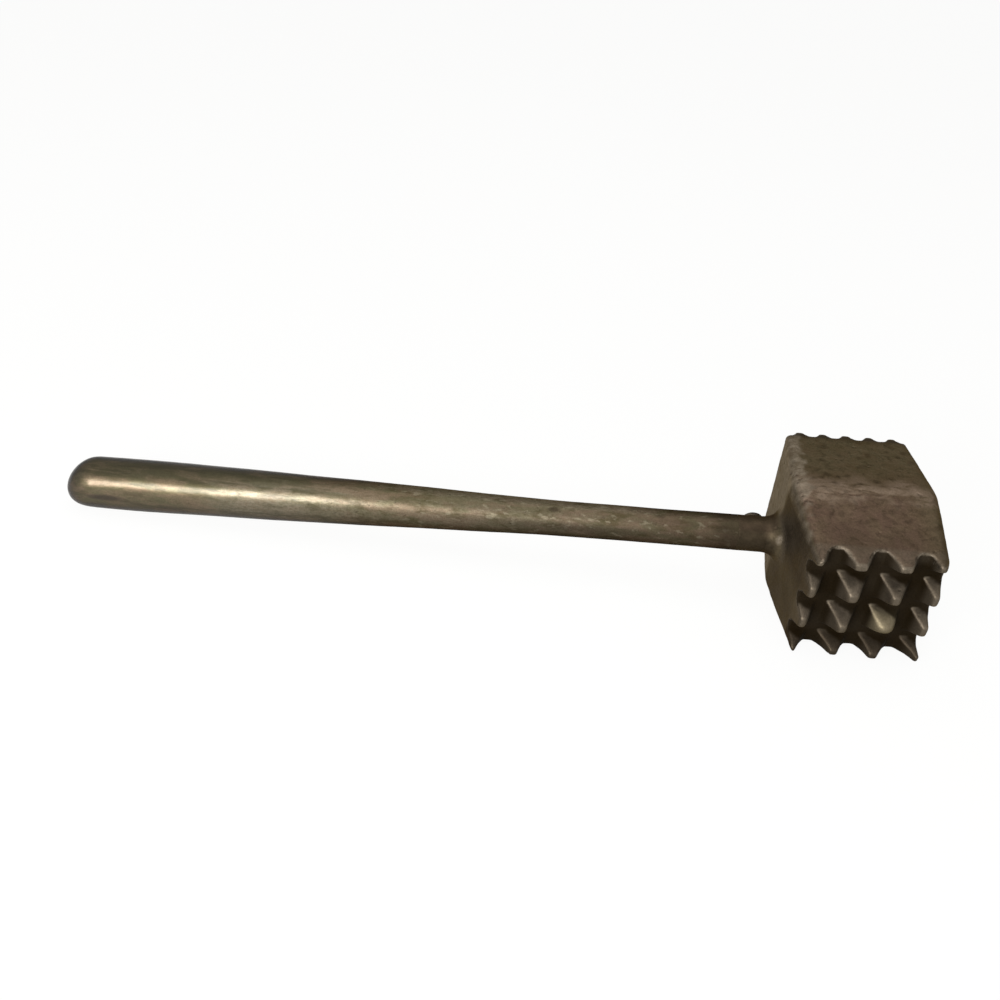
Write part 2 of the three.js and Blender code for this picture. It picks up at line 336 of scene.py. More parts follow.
def grained(tree, colour, value, depth):
    """A colour made darker and lighter by a share of up to depth, as a noise value goes."""
    level = eased(tree, value, 0.3, 0.7, 1 - depth, 1 + depth)
    grey = tree.nodes.new("ShaderNodeCombineColor")
    for socket in grey.inputs:
        tree.links.new(level, socket)
    return mixed(tree, 1.0, colour, grey.outputs["Color"], blend="MULTIPLY")


def relief(tree, shader, height, depth, strength, under=None):
    """Adds fine relief to a shader, of a depth in millimetres."""
    node = tree.nodes.new("ShaderNodeBump")
    node.inputs["Distance"].default_value = depth * MM
    node.inputs["Strength"].default_value = strength
    tree.links.new(height, node.inputs["Height"])
    if under is not None:
        tree.links.new(under, node.inputs["Normal"])
    tree.links.new(node.outputs["Normal"], shader.inputs["Normal"])
    return node.outputs["Normal"]


# Colours, as linear light, read as the tarnished metal of each place; some of them also serve for painted
# shade and painted sheen, as noted.
BROWN = (0.096, 0.069, 0.043)
OLIVE = (0.096, 0.080, 0.048)
ROSE = (0.098, 0.064, 0.045)
PALE_BROWN = (0.178, 0.132, 0.095)
# Dark tarnish, also used for painted shade on the head and the handle.
DARK_BROWN = (0.030, 0.022, 0.014)
# Soot in the grooves, also used for the painted shade there.
SOOT_AND_SHADE = (0.009, 0.0055, 0.002)
SIDE_GREY = (0.092, 0.075, 0.056)
TOOTH_GREY = (0.132, 0.108, 0.080)
# Rubbed bare metal, also used for painted sheen and the painted highlight on the fillet.
BARE_METAL_AND_SHEEN = (0.220, 0.182, 0.136)
BRASSY = (0.190, 0.157, 0.099)
GRIP_BROWN = (0.129, 0.092, 0.054)
GRIP_OLIVE = (0.088, 0.075, 0.037)
# Dark blots on the grip, also used for painted shade on its upward faces and underside.
GRIP_DARK_AND_SHADE = (0.038, 0.032, 0.011)
# Pale rubbed flecks, also used for the painted glow on the grip's front.
GRIP_PALE_AND_SHEEN = (0.185, 0.160, 0.112)
SHANK_BROWN = (0.097, 0.068, 0.046)
SHANK_OLIVE = (0.074, 0.063, 0.037)

# What each metal's reflections turn to where it is seen at a flat angle.
CAST_RIM_TINT = (0.42, 0.37, 0.29)
HANDLE_RIM_TINT = (0.26, 0.22, 0.16)


def cast_colour(tree, broad, small, fine, wear):
    """The head's colour: tarnish, then each mask laid over the last, some of them painted shade and painted
    sheen, and rubbed metal with a painted highlight on top.
    """
    colour = mixed(tree, mask_times(tree, "rosy", eased(tree, broad, 0.35, 0.62, 0.35, 1)), BROWN, ROSE)
    colour = mixed(tree, mask_times(tree, "olive", eased(tree, small, 0.38, 0.6, 0.4, 1)), colour, OLIVE)
    colour = mixed(tree, eased(tree, small, 0.48, 0.7, 0, 0.5), colour, DARK_BROWN)
    streaks = noise_value(tree, object_place(tree, stretch=3), 2.4, detail=4, distortion=0.6)
    streaks = mask_times(tree, "streaked", eased(tree, streaks, 0.3, 0.56))
    colour = mixed(tree, streaks, colour, PALE_BROWN)
    colour = mixed(tree, mask_value(tree, "side"), colour, SIDE_GREY)
    # Pale rough band over the neck, and painted reflection lightening the fine half of the left side.
    colour = mixed(tree, mask_times(tree, "pale", eased(tree, small, 0.36, 0.6, 0.45, 1)), colour, BARE_METAL_AND_SHEEN)
    colour = mixed(tree, mask_value(tree, "tooth"), colour, TOOTH_GREY)
    # Tarnish and painted shade: the left side's coarse half, the undersides and the tooth flanks turned
    # toward the handle.
    colour = mixed(tree, mask_value(tree, "dark"), colour, DARK_BROWN)
    colour = mixed(tree, mask_value(tree, "brassy"), colour, BRASSY)
    # Soot and painted shade in the grooves and on the teeth's upper faces.
    colour = mixed(tree, mask_value(tree, "soot"), colour, SOOT_AND_SHADE)
    colour = grained(tree, colour, fine, 0.14)
    # Rubbed metal, and the painted highlight on the neck's fillet.
    return mixed(tree, wear, colour, BARE_METAL_AND_SHEEN)


def cast_metal():
    """Dull cast aluminium: brown and olive tarnish, grain, worn rims, soot and painted shade in the grooves,
    painted shade and sheen on some faces, and a painted highlight on the neck's fillet.
    """
    material, tree, shader = new_material("cast_metal")
    place = object_place(tree)
    broad = noise_value(tree, place, 7, detail=5, roughness=0.65, distortion=0.5)
    small = noise_value(tree, place, 2.8, detail=5, roughness=0.65, distortion=0.6)
    fine = noise_value(tree, place, 0.6, detail=4, roughness=0.75)
    # The wear mask carries the painted highlight on the fillet as well as real wear.
    wear = mask_times(tree, "wear", eased(tree, fine, 0.38, 0.6, 0.35, 1))
    tree.links.new(cast_colour(tree, broad, small, fine, wear), shader.inputs["Base Color"])
    shader.inputs["Specular IOR Level"].default_value = 0.12
    shader.inputs["Specular Tint"].default_value = (*CAST_RIM_TINT, 1)
    tree.links.new(eased(tree, mask_value(tree, "soot"), 0, 1, 0.94, 0.1), shader.inputs["Metallic"])
    rough = eased(tree, broad, 0.3, 0.7, 0.46, 0.58)
    rough = arithmetic(tree, "SUBTRACT", rough, arithmetic(tree, "MULTIPLY", wear, 0.14))
    rough = arithmetic(tree, "ADD", rough, mask_times(tree, "soot", 0.3))
    tree.links.new(rough, shader.inputs["Roughness"])
    lumps = noise_value(tree, place, 1.5, detail=3)
    rugged = eased(tree, mask_value(tree, "turned"), 0, 1, 1, 0.25)
    under = relief(tree, shader, arithmetic(tree, "MULTIPLY", lumps, rugged), 0.14, 0.6)
    relief(tree, shader, arithmetic(tree, "MULTIPLY", fine, rugged), 0.05, 0.5, under)
    return material


def handle_colour(tree, blots, fine):
    """The handle's colour: polished grip into dull shank, with rubbed, blotted and banded places, painted
    shade on the upward faces and underneath, and a painted glow on the front.
    """
    drawn = object_place(tree, stretch=3)
    drawn_less = object_place(tree, stretch=2)
    patches = noise_value(tree, drawn, 4.5, detail=5, roughness=0.6, distortion=0.5)
    tones = eased(tree, patches, 0.38, 0.63)
    grip = mixed(tree, tones, GRIP_BROWN, GRIP_OLIVE)
    shank = mixed(tree, tones, SHANK_BROWN, SHANK_OLIVE)
    colour = mixed(tree, mask_value(tree, "shank"), grip, shank)
    flecks = noise_value(tree, drawn_less, 1.0, detail=4, roughness=0.65)
    # Pale flecks in the painted glow on the front, in the painted light on the shank's top, and on the nick.
    flecked = mask_times(tree, "pale", eased(tree, flecks, 0.32, 0.66, 0.3, 1))
    colour = mixed(tree, flecked, colour, GRIP_PALE_AND_SHEEN)
    colour = mixed(tree, eased(tree, blots, 0.46, 0.7, 0, 0.55), colour, GRIP_DARK_AND_SHADE)
    rubs = noise_value(tree, drawn_less, 1.7, detail=2, roughness=0.5)
    rubbed = mask_times(tree, "shank", eased(tree, rubs, 0.58, 0.7, 0, 0.6))
    colour = mixed(tree, rubbed, colour, GRIP_PALE_AND_SHEEN)
    # Painted shade on the upward faces, broken by the patches.
    uneven = eased(tree, patches, 0.36, 0.6, 0.55, 1)
    colour = mixed(tree, mask_times(tree, "olive", uneven), colour, GRIP_DARK_AND_SHADE)
    # Dark streaks on the upward and downward faces: streaks with painted shade.
    streaks = noise_value(tree, object_place(tree, stretch=9), 2.2, detail=4, roughness=0.6)
    bands = eased(tree, streaks, 0.46, 0.6, 0, 0.75)
    colour = mixed(tree, mask_times(tree, "banded", bands), colour, GRIP_DARK_AND_SHADE)
    # Darkened metal: painted shade underneath and on the dome, and darker at the neck, in the pits and at
    # the marks.
    colour = mixed(tree, mask_value(tree, "dark"), colour, DARK_BROWN)
    return grained(tree, colour, fine, 0.18)


def handle_metal():
    """Aluminium polished by the hand at the grip and duller at the shank, mottled and lightly pitted."""
    material, tree, shader = new_material("handle_metal")
    blots = noise_value(tree, object_place(tree, stretch=3), 3.0, detail=3, roughness=0.6, distortion=0.3)
    fine = noise_value(tree, object_place(tree), 0.5, detail=4, roughness=0.7)
    tree.links.new(handle_colour(tree, blots, fine), shader.inputs["Base Color"])
    shader.inputs["Metallic"].default_value = 0.95
    shader.inputs["Specular IOR Level"].default_value = 0.15
    shader.inputs["Specular Tint"].default_value = (*HANDLE_RIM_TINT, 1)
    shader.inputs["Coat Roughness"].default_value = 0.22
    tree.links.new(eased(tree, mask_value(tree, "shank"), 0, 0.8, 0.55, 0), shader.inputs["Coat Weight"])
    rough = eased(tree, mask_value(tree, "shank"), 0, 1, 0.355, 0.5)
    blur = eased(tree, blots, 0.38, 0.66, -0.03, 0.06)
    tree.links.new(arithmetic(tree, "ADD", rough, blur), shader.inputs["Roughness"])
    scratches = noise_value(tree, object_place(tree, stretch=30), 0.5, detail=3)
    under = relief(tree, shader, scratches, 0.03, 0.35)
    relief(tree, shader, fine, 0.03, 0.35, under)
    return material


def pin_metal():
    """The pin's dull, darkened metal."""
    material, tree, shader = new_material("pin_metal")
    place = object_place(tree)
    patches = noise_value(tree, place, 2.5, detail=4)
    fine = noise_value(tree, place, 0.4, detail=3)
    colour = mixed(tree, eased(tree, patches, 0.4, 0.6), DARK_BROWN, OLIVE)
    colour = grained(tree, colour, fine, 0.25)
    colour = mixed(tree, mask_value(tree, "wear"), colour, BROWN)
    tree.links.new(colour, shader.inputs["Base Color"])
    shader.inputs["Metallic"].default_value = 0.8
    tree.links.new(eased(tree, patches, 0.3, 0.7, 0.42, 0.56), shader.inputs["Roughness"])
    relief(tree, shader, fine, 0.05, 0.5)
    return material


# Head

# What the ribs lose when the mesh is smoothed.
RIB_LIFT = 0.4

# Where a highlight is painted on the fillet of the neck, and how large the spot is.
PAINTED_FILLET_HIGHLIGHT = np.array([-28, -7.8, 4.4])
PAINTED_HIGHLIGHT_SIZE = np.array([1.6, 1.6, 2.6])

# Rounds of smoothing: on every coarse tooth, and on the battered one besides.
TOOTH_ROUNDING = 21
BATTERED_ROUNDING = 140

# The coarse tooth that is battered round and rubbed brassy, as column and row.
BATTERED = (2, 2)

# How much wider the battered tooth is at its tip, and how much slimmer the lowest row is, as shares.
BATTERED_SWELL = 0.4
LOW_ROW_PINCH = 0.25

# Knocked coarse teeth: (column from the handle, row from the top), how far the tip leans along X and Z,
# and how far it is blunted, in millimetres.
KNOCKED = {
    (3, 0): (-1.3, 0.5, 1.6),
    (2, 2): (0.2, 0.1, 0.0),
    (3, 1): (-0.5, 0.2, 0.6),
    (3, 2): (0.3, 0.0, 0.5),
    (1, 3): (0.8, -0.2, 0.2),
    (3, 3): (1.5, -0.4, 0.0),
    (1, 0): (0.2, -0.4, 0.0),
    (2, 0): (0.2, -0.5, 0.0),
}

# Numbers of casting pits: in the rough band over the neck, and anywhere on the head.
BAND_PITS = 26
HEAD_PITS = 110


def tooth_cells(points):
    """Column and row, from 0, of the coarse tooth nearest to each point."""
    column = np.clip(np.round(points[:, 0] / COARSE_PITCH + MIDDLE_TOOTH), 0, TEETH - 1)
    row = np.clip(np.round(MIDDLE_TOOTH - points[:, 2] / COARSE_PITCH), 0, TEETH - 1)
    return column.astype(int), row.astype(int)


def on_battered(column, row):
    """Which points lie on the battered tooth, from each point's column and row."""
    return (column == BATTERED[0]) & (row == BATTERED[1])


def worn_teeth(points, edges, seed):
    """Rounds the coarse teeth, narrows and bends each by a little of its own, the knocked ones by more."""
    toothed = ramp(-points[:, 1], COARSE_FLOOR - 0.5, COARSE_FLOOR + 2.5)
    points = points + toothed[:, None] * (relaxed(points, edges, TOOTH_ROUNDING) - points)
    chance = random.Random(seed)
    column, row = tooth_cells(points)
    height = ramp(-points[:, 1], COARSE_FLOOR, COARSE_REACH)
    battered = height * on_battered(column, row)
    points = points + battered[:, None] * (relaxed(points, edges, BATTERED_ROUNDING) - points)
    for c in range(TEETH):
        for r in range(TEETH):
            here = (column == c) & (row == r)
            lean_x, lean_z, blunt = KNOCKED.get((c, r), (0, 0, 0))
            lean_x += chance.uniform(-0.3, 0.3)
            lean_z += chance.uniform(-0.3, 0.3)
            blunt += chance.uniform(-0.8, -0.5)
            pinch = chance.uniform(0.05, 0.2)
            if r == TEETH - 1:
                pinch += LOW_ROW_PINCH
            if (c, r) == BATTERED:
                pinch -= BATTERED_SWELL
            centre = (c - MIDDLE_TOOTH) * COARSE_PITCH
            points[here, 0] -= pinch * height[here] * (points[here, 0] - centre)
            points[here, 0] += lean_x * height[here]
            points[here, 2] += lean_z * height[here]
            points[here, 1] += blunt * height[here] ** 2
    return points


def casting_pits(points, normals, seed):
    """Small casting pits, thickest in the rough band along the edge over the neck."""
    chance = random.Random(seed)
    band = (points[:, 0] < -BELLY_HALF + 6.5) & (points[:, 2] > 20) & (points[:, 1] > -30)
    anywhere = np.full(len(points), True)
    centres = chosen(points, band, BAND_PITS, chance) + chosen(points, anywhere, HEAD_PITS, chance)
    return pitted(points, normals, centres, chance, radii=(0.5, 1.1), depths=(0.1, 0.28))


def half_width_at(y):
    """Half width of the head at each distance from the belly line."""
    coarse_draft = (BELLY_HALF - COARSE_HALF) / COARSE_REACH
    fine_draft = (BELLY_HALF - FINE_HALF) / FINE_REACH
    return BELLY_HALF - np.abs(y) * np.where(y < 0, coarse_draft, fine_draft)


def head_surface(points, normals):
    """What the masks ask of the head's points: place, facing (left is toward the handle) and noise."""
    x, y, z = points.T
    return SimpleNamespace(
        points=points, normals=normals, x=x, y=y, z=z,
        top=ramp(normals[:, 2], 0.6, 0.85),
        left=ramp(-normals[:, 0], 0.7, 0.92),
        toothed=ramp(-y, COARSE_FLOOR - 2.5, COARSE_FLOOR - 0.3),
        outside=(np.maximum(np.abs(x), np.abs(z)) > 21) & (normals[:, 1] > -0.3),
        turned=ramp(-x, 27.2, 30),
        broad=grain(points, 9, 1.9),
        spots=grain(points, 3, 11.3),
        specks=grain(points, 1.1, 4.4),
    )


def wear_and_painted_highlight(at, edges):
    """Metal rubbed bright where it stands proud, most of all the upper rims of the teeth, and a painted
    highlight on the neck's fillet.
    """
    proud = ramp(bumpiness(at.points, at.normals, edges, 10), 0.04, 0.16)
    tips = ramp(-at.y, COARSE_REACH - 3.5, COARSE_REACH - 0.5)
    rim = np.maximum(ramp(at.z, 19, 21.5) * 0.8, 0.3 * ramp(at.x, 18, 21))
    share = np.where(at.toothed > 0.5, np.maximum(rim, 0.04 + 0.14 * tips), 0.3)
    worn = proud * share * (1 - at.turned) * (0.7 + 0.6 * at.spots + 0.3 * at.specks)
    # Painted highlight on the neck's fillet.
    glint = np.linalg.norm((at.points - PAINTED_FILLET_HIGHLIGHT) / PAINTED_HIGHLIGHT_SIZE, axis=1)
    return np.maximum(worn, 1 - ramp(glint, 0.3, 1.2))


def painted_row_shadow(points):
    """Painted shade on the upper faces of the teeth, as cast by the row above: thickest low down and away
    from the handle.
    """
    column, _ = tooth_cells(points)
    across = points[:, 0] - (column - MIDDLE_TOOTH) * COARSE_PITCH
    height = (-points[:, 1] - COARSE_FLOOR) / COARSE_DEPTH
    edge = height - (across + 4) / 15 + 0.06 * grain(points, 1.5, 8.8)
    return 1 - ramp(edge, -0.12, 0.12)


def soot_and_shade_share(at):
    """Soot with painted shade: deep in the coarse grooves, less on the teeth's upper faces, where it is the
    painted shadow of the row above, and thin between the ribs.
    """
    depth = 1 - ramp(-at.y, COARSE_FLOOR + 1.5, COARSE_REACH - 0.8)
    upper = ramp(at.normals[:, 2], 0.25, 0.5) * 0.9
    # On upward faces the soot gives way to the painted shadow of the row above.
    soot = (0.1 + 0.9 * depth) * (1 - upper) + painted_row_shadow(at.points) * upper
    soot *= 0.975 + 0.06 * at.broad - 0.12 * ramp(at.z, 18, 22) * ramp(at.x, -15, 20)
    soot *= at.toothed * np.where(at.outside, 0, 1)
    ribbed = ramp(at.y, FINE_FLOOR - 0.6, FINE_FLOOR) * (1 - ramp(at.y, FINE_FLOOR + 0.6, FINE_REACH - 0.3))
    return np.maximum(soot, ribbed * 0.7)


def dark_tarnish_and_shade(at, hollow):
    """Darkened metal: painted shade on the left side, the undersides and the tooth flanks turned toward the
    handle; the low row, blotches, pits, the neck and both lips.
    """
    # Painted shade on the coarse half of the left side.
    shaded = at.left * ramp(-at.y, -3, 1) * (0.12 + 0.22 * ramp(at.z, -6, 6) + 0.15 * at.broad)
    # Painted shade on the undersides.
    under = ramp(-at.normals[:, 2], 0.7, 0.95) * (0.5 + 0.4 * at.broad)
    low_row = at.toothed * ramp(-at.z, 15, 18) * 0.8
    # Painted shade on the tooth flanks turned toward the handle.
    shadow_side = at.toothed * ramp(-at.normals[:, 0], 0.3, 0.65) * np.where(at.outside, 0, 0.5)
    patches = at.top * ramp(at.spots + 0.6 * at.broad, 0.2, 0.7) * 0.4
    pits = ramp(hollow, 0.3, 0.9) * 0.5
    neck = at.turned * (0.74 + 0.15 * at.spots)
    ribs = at.top * ramp(at.y, FINE_FLOOR - 4, FINE_FLOOR) * 0.4
    lip = at.top * ramp(-at.y, 17, 30) * (0.3 + 0.25 * at.broad)
    return np.maximum.reduce([shaded, under, low_row, shadow_side, patches, pits, neck, ribs, lip])


def olive_share(at):
    """Olive tarnish: on the fine half, along the edge away from the handle, and on all but the top."""
    fine_half = ramp(at.y, 0, 14) * (0.8 + 0.3 * at.broad)
    far_edge = ramp(at.x, 16, 25) * (0.6 + 0.4 * at.broad)
    return np.maximum.reduce([fine_half, far_edge, 0.7 * (1 - at.top)])


def pale_band_and_painted_sheen(at):
    """Paler metal: the rough band along the edge over the neck, and painted reflection lightening the fine
    half of the left side.
    """
    width = 5.6 + 2.6 * at.spots + 1.6 * at.broad - 4.0 * ramp(-at.y, 2, 20)
    band = ramp(width - (at.x + half_width_at(at.y)), -1.2, 1.6) * ramp(at.z, 19.5, 22)
    band *= 0.85 + 0.45 * at.spots + 0.25 * at.specks - 0.42 * ramp(-at.y, -6, 12)
    # Painted reflection on the fine half of the left side.
    side = at.left * (1 - ramp(-at.y, -3, 1)) * 0.68
    return np.maximum(band, side) * (1 - at.turned)


def streaked_share(at):
    """Pale streaks along the belly line, in a strip that is wider toward the handle."""
    near_handle = 1 - ramp(at.x, -16, 2)
    away = np.abs(at.y + 2 + 5 * at.broad + 3 * at.spots)
    strip = 1 - ramp(away, 1 + 2 * near_handle, 8 + 3 * near_handle)
    return at.top * strip * (0.85 + 0.6 * at.spots) * (1 - at.turned)


def brassy_share(at):
    """The battered tooth, rubbed to a brassy tone above its root."""
    column, row = tooth_cells(at.points)
    return 0.8 * on_battered(column, row) * ramp(-at.y, COARSE_REACH - 9, COARSE_REACH - 4.5)


def head_masks(mesh, points, normals, edges, hollow):
    """Stores every mask that the cast metal reads."""
    at = head_surface(points, normals)
    put_mask(mesh, "wear", wear_and_painted_highlight(at, edges))
    put_mask(mesh, "soot", soot_and_shade_share(at))
    put_mask(mesh, "tooth", at.toothed * np.where(at.outside, 0.35, 0.9))
    put_mask(mesh, "side", at.left * (1 - at.turned) * (0.85 + 0.15 * at.broad))
    put_mask(mesh, "dark", dark_tarnish_and_shade(at, hollow))
    put_mask(mesh, "olive", olive_share(at))
    put_mask(mesh, "rosy", at.top * ramp(-at.y, 0, 7) * (1 - ramp(at.x, 10, 20)))
    put_mask(mesh, "turned", at.turned)
    put_mask(mesh, "pale", pale_band_and_painted_sheen(at))
    put_mask(mesh, "streaked", streaked_share(at))
    put_mask(mesh, "brassy", brassy_share(at))


def burnished_over_pin(points, normals):
    """Rubs the neck's metal over the filed end of the pin, so that no ring shows on that side."""
    x, y, z = points.T
    away = np.hypot(x - PIN_STATION, z)
    out = np.hypot(y, z)
    near = (away < PIN_RADIUS + CAD_GAP + 1.3) & (y < 0) & (out > SHANK_RADIUS - 0.9)
    inward = ((x - PIN_STATION) * normals[:, 0] + z * normals[:, 2]) / np.maximum(away, 0.1)
    wall = near & (inward < -0.25)
    points[wall, 0] = PIN_STATION + (x[wall] - PIN_STATION) * 0.05
    points[wall, 2] = z[wall] * 0.05
    points[near, 1] = -np.sqrt(SHANK_RADIUS ** 2 - points[near, 2] ** 2)
    return points


def head_skin(material):
    """The cast head with rounded edges, uneven teeth, pits and a rough cast surface."""
    mesh = remeshed("head_skin", "head_casting", HEAD_VOXEL)
    edges = edges_of(mesh)
    points = relaxed(points_of(mesh), edges, 5)
    belly = (1 - ramp(np.abs(points[:, 1]), 3, 9)) * ramp(points[:, 0], NECK_END + 12, NECK_END + 16)
    points = points + belly[:, None] * (relaxed(points, edges, 40) - points)
    points[:, 1] += RIB_LIFT * ramp(points[:, 1], FINE_FLOOR - 8, FINE_FLOOR)
    points = worn_teeth(points, edges, seed=5)
    set_points(mesh, points)
    normals = normals_of(mesh)
    free = ramp(points[:, 0], NECK_END, NECK_END + 14)
    lumps = 0.18 * grain(points, 14, 2.3) + 0.09 * grain(points, 4, 6.1) + 0.04 * grain(points, 1.3, 9.9)
    points = points + normals * (lumps * free)[:, None]
    points, hollow = casting_pits(points, normals, seed=21)
    mouth = (points[:, 0] < NECK_END + 1.2) & (np.hypot(points[:, 1], points[:, 2]) > SHANK_RADIUS - 1.2)
    points = squared_off(points, normals, mouth, NECK_END, -1, SHANK_RADIUS)
    points = burnished_over_pin(points, normals)
    set_points(mesh, points)
    head_masks(mesh, points, normals_of(mesh), edges, hollow)
    return finished_piece("head_casting_skin", mesh, "head_casting", material)


# Handle

# What the handle's shoulder leaves free before the end of the neck.
SEAM = 0.05

# How far the nose of the dome sits off the handle's line.
DOME_DROOP = np.array([0.25, 1.6, 1.9])

# Stations between which the grip's polish fades into the dull shank.
POLISH_END = -262
DULL_START = -125

# Pits of the shank: their number, and the station where they start.
SHANK_PITS = 90
PITS_START = -210

# Dark marks on the near side of the handle: place, half length, half width and strength.
DARK_MARKS = [
    ((-288.5, -10.2, 0.8), 8.0, 1.5, 0.8),
    ((-113.8, -2.7, 6.5), 2.6, 1.2, 0.75),
    ((-72.8, -1.9, 6.7), 2.8, 1.2, 0.6),
]

# A nick beside the second of them, bright where it was rubbed since.
NICK = (-115.1, -5.3, 4.5)


def handle_profile():
    """Stations of the turned bar's rings in the CAD, and its radius at each."""
    mesh = cad_mesh("handle_bar")
    points = points_of(mesh)
    bpy.data.meshes.remove(mesh)
    radius = np.hypot(points[:, 1], points[:, 2])
    stations = np.round(points[:, 0], 2)
    rings = np.unique(stations[stations < SHOULDER + 0.01])
    return rings, np.array([radius[stations == ring].max() for ring in rings])


def mark_on(points, place, half_length, half_width):
    """How far a small drawn-out mark covers each point, 0 to 1."""
    away = (points - np.array(place)) / np.array([half_length, half_width, half_width])
    return 1 - ramp(np.linalg.norm(away, axis=1), 0.5, 1.25)


def handle_marks_and_shade(points, normals, hollow, spots):
    """Darkened metal: painted shade underneath and on the dome, and darker at the neck, in the pits and at
    the marks.
    """
    x = points[:, 0]
    near_neck = ramp(x, -90, -62)
    # Painted shade on the faces turned down.
    beneath = ramp(-normals[:, 2], -0.3, 0.3) * (0.34 + 0.3 * ramp(x, -170, -110) + 0.15 * spots)
    beneath *= 1 - 0.5 * near_neck
    # Painted shade on the lower faces toward the neck.
    low = ramp(-normals[:, 2], -0.62, -0.2) * ramp(x, -165, -105) * (0.5 + 0.12 * spots)
    low *= 1 - 0.8 * near_neck
    # Painted dark rim on the dome.
    dome = (1 - ramp(x, GRIP_END + 0.5, DOME_START + 2)) * 0.7
    root = 0.3 * ramp(x, -92, -64) + (0.42 + 0.15 * spots) * ramp(x + 4 * spots, -58, -47)
    pits = ramp(hollow, 0.3, 0.9) * 0.7
    marks = [share * mark_on(points, place, long, wide) for place, long, wide, share in DARK_MARKS]
    return np.maximum.reduce([beneath, low, dome, root, pits, *marks])


def handle_masks(mesh, points, normals, hollow):
    """Stores every mask that the handle's metal reads."""
    x = points[:, 0]
    spots = grain(points, 4, 3.3, stretch=(2, 1, 1))
    upward = 0.26 * normals[:, 1] + 0.97 * normals[:, 2]
    forward = -0.95 * normals[:, 1] + 0.3 * normals[:, 2]
    # Upward and downward faces, where dark streaks stand for painted shade as well as marks.
    sides = np.maximum(ramp(upward, 0.3, 0.7), ramp(-normals[:, 2], -0.2, 0.3))
    # Painted glow of light on the faces turned to the front, under the highlight.
    glow = ramp(forward, 0.5, 0.95) * ramp(x, -256, -235)
    glow *= 0.7 - 0.35 * ramp(x, -220, -180) - 0.35 * ramp(x, -120, -60)
    # Painted light on the top of the shank.
    painted_crown_light = ramp(normals[:, 1], -0.6, 0.45) * ramp(x, -200, -160) * (1 - 0.85 * ramp(x, -92, -62))
    nick = 0.9 * mark_on(points, NICK, 0.9, 1.9)
    put_mask(mesh, "shank", ramp(x, POLISH_END, DULL_START))
    # Painted shade on the upward faces, fading along the shank.
    put_mask(mesh, "olive", ramp(upward, 0.45, 0.85) * (0.7 - 0.6 * ramp(x, -250, -150)))
    put_mask(mesh, "banded", sides * (1 - 0.85 * ramp(x, -230, -175)))
    # The pale mask: painted glow, painted light on the shank's top, and the real nick.
    put_mask(mesh, "pale", np.maximum.reduce([glow, painted_crown_light, nick]))
    put_mask(mesh, "dark", handle_marks_and_shade(points, normals, hollow, spots))


def handle_skin(material):
    """The handle with its true round section, a slightly lopsided dome, faint waves and pits."""
    rings, radii = handle_profile()
    mesh = remeshed("handle_skin", "handle_bar", HANDLE_VOXEL)
    edges = edges_of(mesh)
    points = relaxed(points_of(mesh), edges, 8)
    outer = (points[:, 0] > DOME_START) & (points[:, 0] < SHOULDER - 0.6)
    true_radius = np.interp(points[:, 0], rings, radii)
    radius = np.hypot(points[:, 1], points[:, 2])
    points[outer, 1:] *= (true_radius / np.maximum(radius, 0.1))[outer, None]
    points = relaxed(points, edges, 4)
    set_points(mesh, points)
    normals = normals_of(mesh)
    free = 1 - ramp(points[:, 0], NECK_END - 14, NECK_END - 1)
    waves = 0.14 * grain(points, 9, 4.2, stretch=(3, 1, 1)) + 0.03 * grain(points, 2.4, 7.5)
    points = points + normals * (waves * free)[:, None]
    tip = np.clip((DOME_START - points[:, 0]) / (DOME_START - GRIP_END), 0, 1) ** 1.7
    points -= tip[:, None] * DOME_DROOP
    chance = random.Random(8)
    reach = (points[:, 0] > PITS_START) & (points[:, 0] < NECK_END - 5)
    centres = chosen(points, reach, SHANK_PITS, chance)
    points, hollow = pitted(points, normals, centres, chance, radii=(0.4, 0.8), depths=(0.04, 0.1))
    shoulder = (points[:, 0] > NECK_END - 1.5) & (np.hypot(points[:, 1], points[:, 2]) > SHANK_RADIUS - 1.2)
    points = squared_off(points, normals, shoulder, NECK_END - SEAM, 1, SHANK_RADIUS)
    set_points(mesh, points)
    handle_masks(mesh, points, normals, hollow)
    return finished_piece("handle_bar_skin", mesh, "handle_bar", material)


# Pin

# How far the pin's filed end lies under the neck's burnished metal.
PIN_SUNK = 1


def pin_skin(material):
    """The pin, with its button head set down on the neck and its filed end under the neck's metal."""
    mesh = remeshed("pin_skin", "cross_pin", PIN_VOXEL)
    edges = edges_of(mesh)
    points = relaxed(points_of(mesh), edges, 4)
    set_points(mesh, points)
    normals = normals_of(mesh)
    y = points[:, 1].copy()
    points[:, 1] = np.maximum(y, PIN_SUNK - SHANK_RADIUS)
    head = y > 0
    points[head, 1] -= 0.2 * ramp(y[head], SHANK_RADIUS, SHANK_RADIUS + 1.5)
    lumps = 0.05 * grain(points, 1.5, 5.5)
    points[head] += normals[head] * lumps[head, None]
    set_points(mesh, points)
    put_mask(mesh, "wear", ramp(bumpiness(points, normals_of(mesh), edges, 10), 0.01, 0.05) * 0.4)
    return finished_piece("cross_pin_skin", mesh, "cross_pin", material)


# Stage

# Half the width of the floor, its paint, and the white that it shows to the camera.
FLOOR_HALF = 3000
FLOOR_PAINT = (0.86, 0.86, 0.85)
FLOOR_WHITE = (1, 1, 0.995)

# The surround: what lights the tool evenly, and what its reflections see besides.
SURROUND_LIGHT = 0.55
SURROUND_MIRRORED = 0.45


